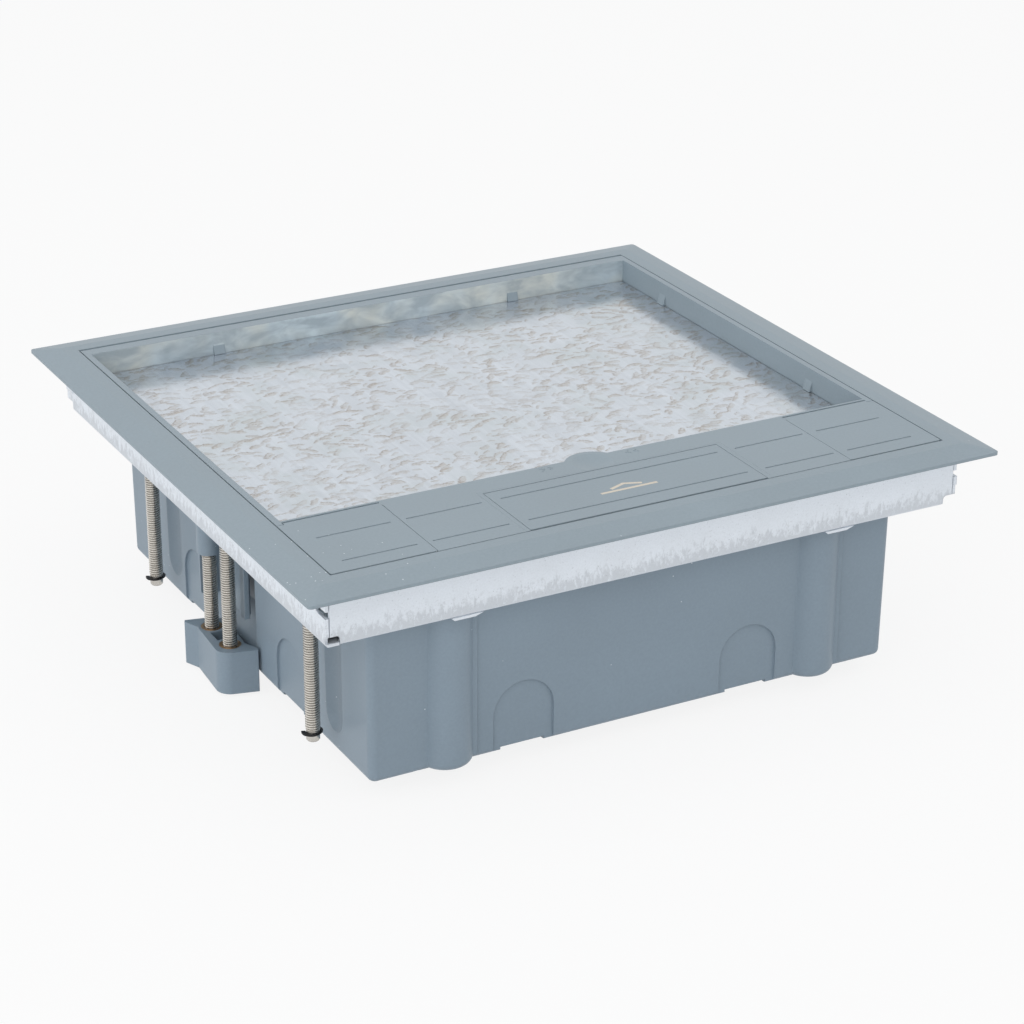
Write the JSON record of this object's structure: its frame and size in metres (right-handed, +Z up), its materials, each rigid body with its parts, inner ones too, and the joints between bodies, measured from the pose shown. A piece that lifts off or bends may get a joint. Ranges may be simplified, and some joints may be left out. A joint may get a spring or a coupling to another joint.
{
  "type": "floor socket box",
  "caption": "Square floor box with a hinged recessed lid, cable flaps, lift-up handle, moulded box, outlets, levelling studs and clamping claws.",
  "frame": {"origin": "centre of the trim border's underside, at finished floor level", "axes": "+Z up, +X to the right along the edge with the handle, that edge faces -Y"},
  "size_m": [0.29, 0.276, 0.0986],
  "materials": {
    "grey_plastic": "satin moulded",
    "white_plastic": "gloss",
    "galvanised_steel": "galvanised spangle",
    "zinc_plated_steel": "zinc plated",
    "black_steel": "blackened",
    "brass": "turned"
  },
  "bodies": {
    "frame": {"trim_frame": "grey_plastic", "front_rail": "galvanised_steel", "rear_rail": "galvanised_steel", "left_rail": "galvanised_steel", "right_rail": "galvanised_steel", "lid_seat": "grey_plastic", "stud_nuts": "zinc_plated_steel", "clamp_guide_left": "grey_plastic", "clamp_guide_right": "grey_plastic"},
    "lid": {"lid_frame": "grey_plastic", "lid_plate": "galvanised_steel", "lid_pivots": "zinc_plated_steel", "flap_pins": "zinc_plated_steel", "handle_bezel": "grey_plastic", "handle_pin": "zinc_plated_steel"},
    "flap_left": {"flap_left": "grey_plastic"},
    "flap_right": {"flap_right": "grey_plastic"},
    "handle": {"handle": "grey_plastic"},
    "box": {"box_shell": "grey_plastic", "height_nuts": "zinc_plated_steel", "module_support_rear": "galvanised_steel", "module_support_front": "galvanised_steel", "support_screws": "zinc_plated_steel", "power_modules": "white_plastic", "data_modules": "white_plastic", "blank_modules": "white_plastic"},
    "claw_left": {"claw_left": "grey_plastic", "claw_inserts_left": "brass"},
    "claw_right": {"claw_right": "grey_plastic", "claw_inserts_right": "brass"},
    "height_screw_front_left": {"height_screw_front_left": "zinc_plated_steel"},
    "height_screw_front_right": {"height_screw_front_right": "zinc_plated_steel"},
    "height_screw_rear_left": {"height_screw_rear_left": "zinc_plated_steel"},
    "height_screw_rear_right": {"height_screw_rear_right": "zinc_plated_steel"},
    "stud_clip_front_left": {"stud_clip_front_left": "black_steel"},
    "corner_stud_front_left": {"corner_stud_front_left": "zinc_plated_steel"},
    "stud_clip_front_right": {"stud_clip_front_right": "black_steel"},
    "corner_stud_front_right": {"corner_stud_front_right": "zinc_plated_steel"},
    "stud_clip_rear_left": {"stud_clip_rear_left": "black_steel"},
    "corner_stud_rear_left": {"corner_stud_rear_left": "zinc_plated_steel"},
    "stud_clip_rear_right": {"stud_clip_rear_right": "black_steel"},
    "corner_stud_rear_right": {"corner_stud_rear_right": "zinc_plated_steel"},
    "clamp_screw_left_rear": {"clamp_screw_left_rear": "zinc_plated_steel"},
    "clamp_screw_left_front": {"clamp_screw_left_front": "zinc_plated_steel"},
    "clamp_screw_right_front": {"clamp_screw_right_front": "zinc_plated_steel"},
    "clamp_screw_right_rear": {"clamp_screw_right_rear": "zinc_plated_steel"}
  },
  "joints": [
    {"name": "lid_hinge", "type": "hinge", "parent": "frame", "child": "lid", "pos_m": [0, 0.112, -0.0005], "axis": [-1, 0, 0], "range_deg": [0, 100]},
    {"name": "flap_left_hinge", "type": "hinge", "parent": "lid", "child": "flap_left", "pos_m": [-0.1072, -0.0753, 0.0022], "axis": [-1, 0, 0], "range_deg": [0, 95]},
    {"name": "flap_right_hinge", "type": "hinge", "parent": "lid", "child": "flap_right", "pos_m": [0.1072, -0.0753, 0.0022], "axis": [-1, 0, 0], "range_deg": [0, 95]},
    {"name": "handle_hinge", "type": "hinge", "parent": "lid", "child": "handle", "pos_m": [0, -0.09179, -0.0002], "axis": [-1, 0, 0], "range_deg": [0, 75]},
    {"name": "box_depth", "type": "slide", "parent": "frame", "child": "box", "axis": [0, 0, 1], "range_m": [-0.012, 0]},
    {"name": "height_screw_front_left_turn", "type": "hinge", "parent": "frame", "child": "height_screw_front_left", "pos_m": [-0.0795, -0.112, -0.0185], "axis": [0, 0, 1], "range_deg": [-5, 4330]},
    {"name": "height_screw_front_right_turn", "type": "hinge", "parent": "frame", "child": "height_screw_front_right", "pos_m": [0.0795, -0.112, -0.0185], "axis": [0, 0, 1], "range_deg": [-5, 4330]},
    {"name": "height_screw_rear_left_turn", "type": "hinge", "parent": "frame", "child": "height_screw_rear_left", "pos_m": [-0.0795, 0.112, -0.0185], "axis": [0, 0, 1], "range_deg": [-5, 4330]},
    {"name": "height_screw_rear_right_turn", "type": "hinge", "parent": "frame", "child": "height_screw_rear_right", "pos_m": [0.0795, 0.112, -0.0185], "axis": [0, 0, 1], "range_deg": [-5, 4330]},
    {"name": "corner_stud_front_left_travel", "type": "slide", "parent": "frame", "child": "stud_clip_front_left", "axis": [0, 0, 1], "range_m": [-0.006, 0.004]},
    {"name": "corner_stud_front_left_turn", "type": "hinge", "parent": "stud_clip_front_left", "child": "corner_stud_front_left", "pos_m": [-0.121, -0.085, -0.0783], "axis": [0, 0, 1], "range_deg": [-2165, 1445]},
    {"name": "corner_stud_front_right_travel", "type": "slide", "parent": "frame", "child": "stud_clip_front_right", "axis": [0, 0, 1], "range_m": [-0.006, 0.004]},
    {"name": "corner_stud_front_right_turn", "type": "hinge", "parent": "stud_clip_front_right", "child": "corner_stud_front_right", "pos_m": [0.121, -0.085, -0.0783], "axis": [0, 0, 1], "range_deg": [-2165, 1445]},
    {"name": "corner_stud_rear_left_travel", "type": "slide", "parent": "frame", "child": "stud_clip_rear_left", "axis": [0, 0, 1], "range_m": [-0.006, 0.004]},
    {"name": "corner_stud_rear_left_turn", "type": "hinge", "parent": "stud_clip_rear_left", "child": "corner_stud_rear_left", "pos_m": [-0.121, 0.068, -0.0793], "axis": [0, 0, 1], "range_deg": [-2165, 1445]},
    {"name": "corner_stud_rear_right_travel", "type": "slide", "parent": "frame", "child": "stud_clip_rear_right", "axis": [0, 0, 1], "range_m": [-0.006, 0.004]},
    {"name": "corner_stud_rear_right_turn", "type": "hinge", "parent": "stud_clip_rear_right", "child": "corner_stud_rear_right", "pos_m": [0.121, 0.068, -0.0793], "axis": [0, 0, 1], "range_deg": [-2165, 1445]},
    {"name": "claw_left_travel", "type": "slide", "parent": "frame", "child": "claw_left", "axis": [0, 0, 1], "range_m": [0, 0.028]},
    {"name": "claw_right_travel", "type": "slide", "parent": "frame", "child": "claw_right", "axis": [0, 0, 1], "range_m": [0, 0.028]},
    {"name": "clamp_screw_left_rear_turn", "type": "hinge", "parent": "frame", "child": "clamp_screw_left_rear", "pos_m": [-0.121, 0.0096, -0.0208], "axis": [0, 0, 1], "range_deg": [-10085, 5]},
    {"name": "clamp_screw_left_front_turn", "type": "hinge", "parent": "frame", "child": "clamp_screw_left_front", "pos_m": [-0.121, -0.0084, -0.0208], "axis": [0, 0, 1], "range_deg": [-10085, 5]},
    {"name": "clamp_screw_right_front_turn", "type": "hinge", "parent": "frame", "child": "clamp_screw_right_front", "pos_m": [0.121, -0.0096, -0.0208], "axis": [0, 0, 1], "range_deg": [-10085, 5]},
    {"name": "clamp_screw_right_rear_turn", "type": "hinge", "parent": "frame", "child": "clamp_screw_right_rear", "pos_m": [0.121, 0.0084, -0.0208], "axis": [0, 0, 1], "range_deg": [-10085, 5]}
  ],
  "couplings": [
    {"joint": "height_screw_front_left_turn", "follows": "box_depth", "rad_per_m": -6283.2},
    {"joint": "height_screw_front_right_turn", "follows": "box_depth", "rad_per_m": -6283.2},
    {"joint": "height_screw_rear_left_turn", "follows": "box_depth", "rad_per_m": -6283.2},
    {"joint": "height_screw_rear_right_turn", "follows": "box_depth", "rad_per_m": -6283.2},
    {"joint": "corner_stud_front_left_turn", "follows": "corner_stud_front_left_travel", "rad_per_m": 6283.2},
    {"joint": "corner_stud_front_right_turn", "follows": "corner_stud_front_right_travel", "rad_per_m": 6283.2},
    {"joint": "corner_stud_rear_left_turn", "follows": "corner_stud_rear_left_travel", "rad_per_m": 6283.2},
    {"joint": "corner_stud_rear_right_turn", "follows": "corner_stud_rear_right_travel", "rad_per_m": 6283.2},
    {"joint": "clamp_screw_left_rear_turn", "follows": "claw_left_travel", "rad_per_m": -6283.2},
    {"joint": "clamp_screw_left_front_turn", "follows": "claw_left_travel", "rad_per_m": -6283.2},
    {"joint": "clamp_screw_right_front_turn", "follows": "claw_right_travel", "rad_per_m": -6283.2},
    {"joint": "clamp_screw_right_rear_turn", "follows": "claw_right_travel", "rad_per_m": -6283.2}
  ]
}
